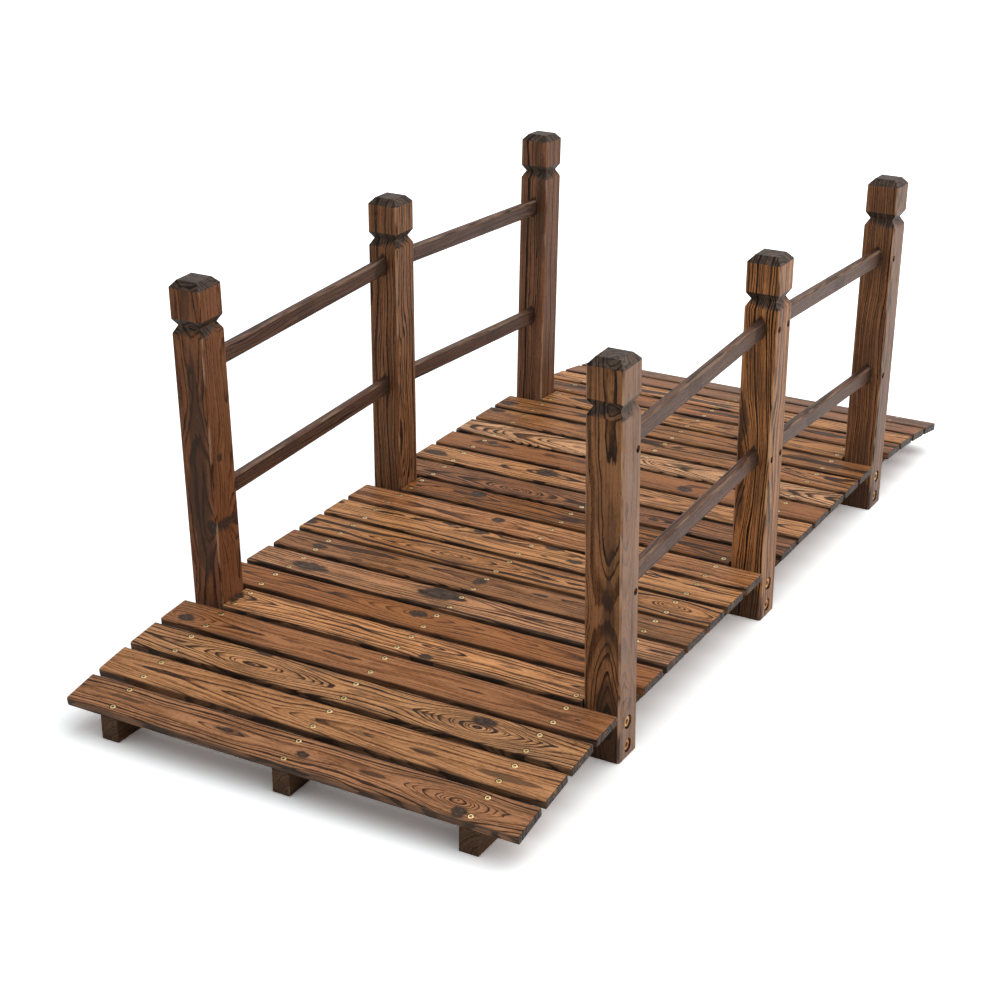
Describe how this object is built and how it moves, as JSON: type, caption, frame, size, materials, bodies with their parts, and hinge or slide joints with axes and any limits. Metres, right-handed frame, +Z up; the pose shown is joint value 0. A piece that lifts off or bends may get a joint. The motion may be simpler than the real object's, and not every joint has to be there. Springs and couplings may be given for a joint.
{
  "type": "wooden footbridge",
  "caption": "Small free-standing timber garden footbridge: boards across stringers that sweep down at both ends, between two railings of notched square posts and slim rails.",
  "frame": {"origin": "on the ground under the middle of the deck, at the centre of the box", "axes": "+X along the bridge, +Y to the left when walking towards +X, +Z up"},
  "size_m": [1.507, 0.664, 0.5382],
  "materials": {
    "deck_wood": "torched fir under satin lacquer",
    "post_wood": "torched fir under satin lacquer",
    "rail_wood": "darker torched fir under satin lacquer",
    "stringer_wood": "darker torched fir, matt"
  },
  "bodies": {
    "root": {"deck_board_01": "deck_wood", "deck_board_02": "deck_wood", "deck_board_03": "deck_wood", "deck_board_04": "deck_wood", "deck_board_05": "deck_wood", "deck_board_06": "deck_wood", "deck_board_07": "deck_wood", "deck_board_08": "deck_wood", "deck_board_09": "deck_wood", "deck_board_10": "deck_wood", "deck_board_11": "deck_wood", "deck_board_12": "deck_wood", "deck_board_13": "deck_wood", "deck_board_14": "deck_wood", "deck_board_15": "deck_wood", "deck_board_16": "deck_wood", "deck_board_17": "deck_wood", "deck_board_18": "deck_wood", "deck_board_19": "deck_wood", "deck_board_20": "deck_wood", "deck_board_21": "deck_wood", "deck_board_22": "deck_wood", "deck_board_23": "deck_wood", "post_left_far": "post_wood", "post_left_middle": "post_wood", "post_left_near": "post_wood", "post_right_far": "post_wood", "post_right_middle": "post_wood", "post_right_near": "post_wood", "rail_left_far_lower": "rail_wood", "rail_left_far_upper": "rail_wood", "rail_left_near_lower": "rail_wood", "rail_left_near_upper": "rail_wood", "rail_right_far_lower": "rail_wood", "rail_right_far_upper": "rail_wood", "rail_right_near_lower": "rail_wood", "rail_right_near_upper": "rail_wood", "stringer_left": "stringer_wood", "stringer_middle": "stringer_wood", "stringer_right": "stringer_wood"}
  },
  "joints": []
}
